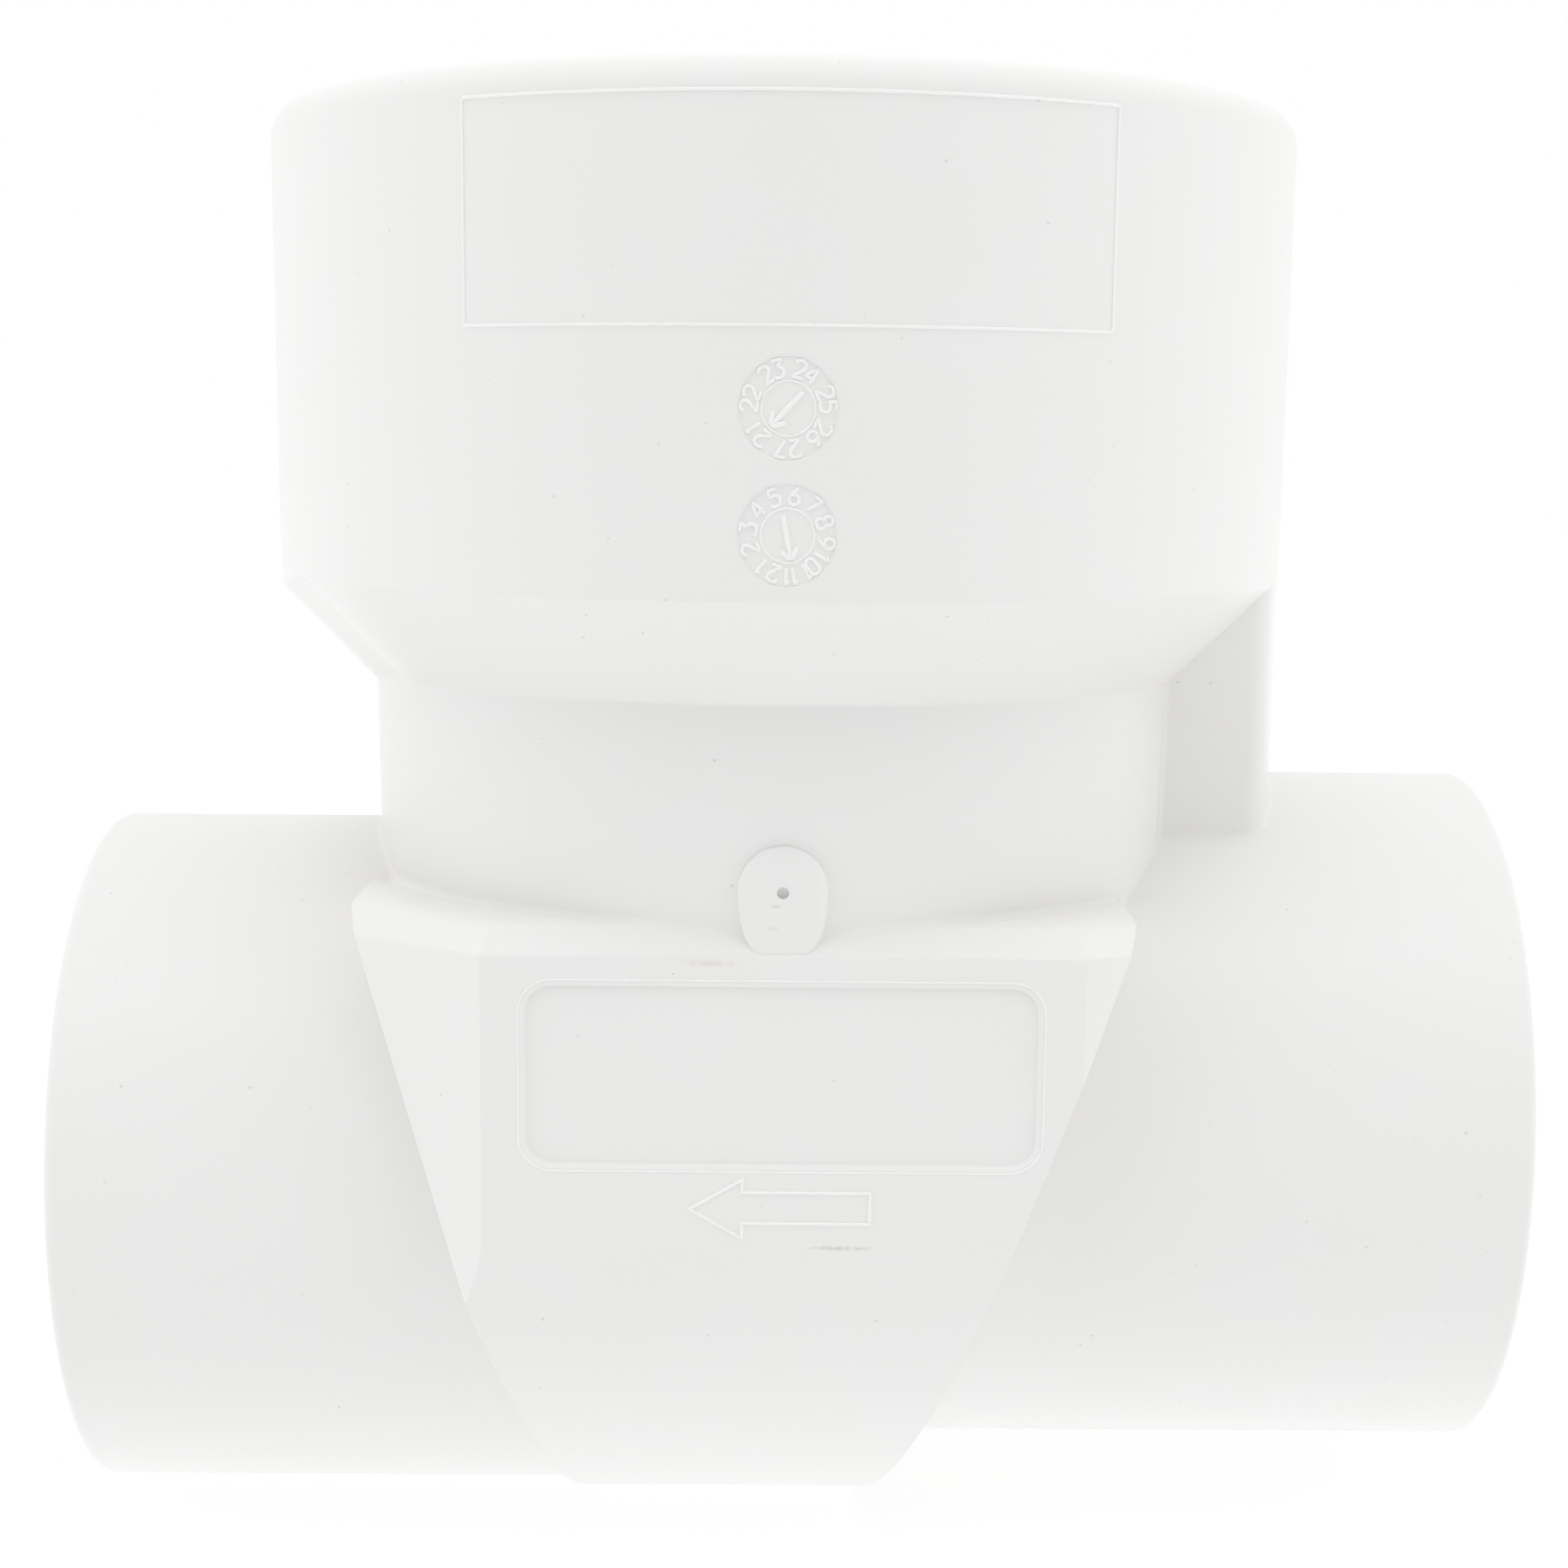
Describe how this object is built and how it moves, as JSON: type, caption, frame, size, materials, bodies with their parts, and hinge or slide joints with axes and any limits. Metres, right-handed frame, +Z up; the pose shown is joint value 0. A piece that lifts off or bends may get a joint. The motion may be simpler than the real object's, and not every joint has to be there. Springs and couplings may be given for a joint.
{
  "type": "backwater valve",
  "caption": "Moulded white drain check valve with two side hubs, a tall riser hub and a lift-out cartridge that holds a hinged flapper and its seal.",
  "frame": {"origin": "middle of the valve's box in plan, at the height of its lowest point", "axes": "+X towards the inlet along the run, -Y towards the front with the flow pad, +Z up along the riser"},
  "size_m": [0.256, 0.1838, 0.256],
  "materials": {
    "white_pvc": "satin moulded white",
    "cage_pvc": "satin moulded off-white",
    "flapper_pvc": "satin moulded grey",
    "black_rubber": "matt",
    "stainless_steel": "drawn and turned",
    "white_acetal": "natural"
  },
  "bodies": {
    "base": {"valve_body": "white_pvc"},
    "cartridge": {"cartridge_cage": "cage_pvc", "cage_o_ring": "black_rubber", "hinge_pin": "stainless_steel", "hinge_clip_front": "stainless_steel", "hinge_clip_rear": "stainless_steel", "handle_rivet_front": "stainless_steel", "handle_rivet_rear": "stainless_steel"},
    "flapper": {"flapper": "flapper_pvc", "flapper_seal": "black_rubber", "seal_retainer": "stainless_steel", "retainer_screw_1": "stainless_steel", "retainer_screw_2": "stainless_steel", "retainer_screw_3": "stainless_steel", "retainer_screw_4": "stainless_steel", "retainer_screw_5": "stainless_steel", "retainer_screw_6": "stainless_steel", "hinge_bush_front": "white_acetal", "hinge_bush_rear": "white_acetal"},
    "handle": {"lift_handle": "stainless_steel"}
  },
  "joints": [
    {"name": "cartridge_lift", "type": "slide", "parent": "base", "child": "cartridge", "axis": [0, 0, 1], "range_m": [0, 0.27]},
    {"name": "flapper_swing", "type": "hinge", "parent": "cartridge", "child": "flapper", "pos_m": [0.04004, 0, 0.12879], "axis": [0, 1, 0], "range_deg": [0, 65]},
    {"name": "handle_swing", "type": "hinge", "parent": "cartridge", "child": "handle", "pos_m": [-0.00235, 0, 0.1388], "axis": [0, 1, 0], "range_deg": [0, 90]}
  ]
}
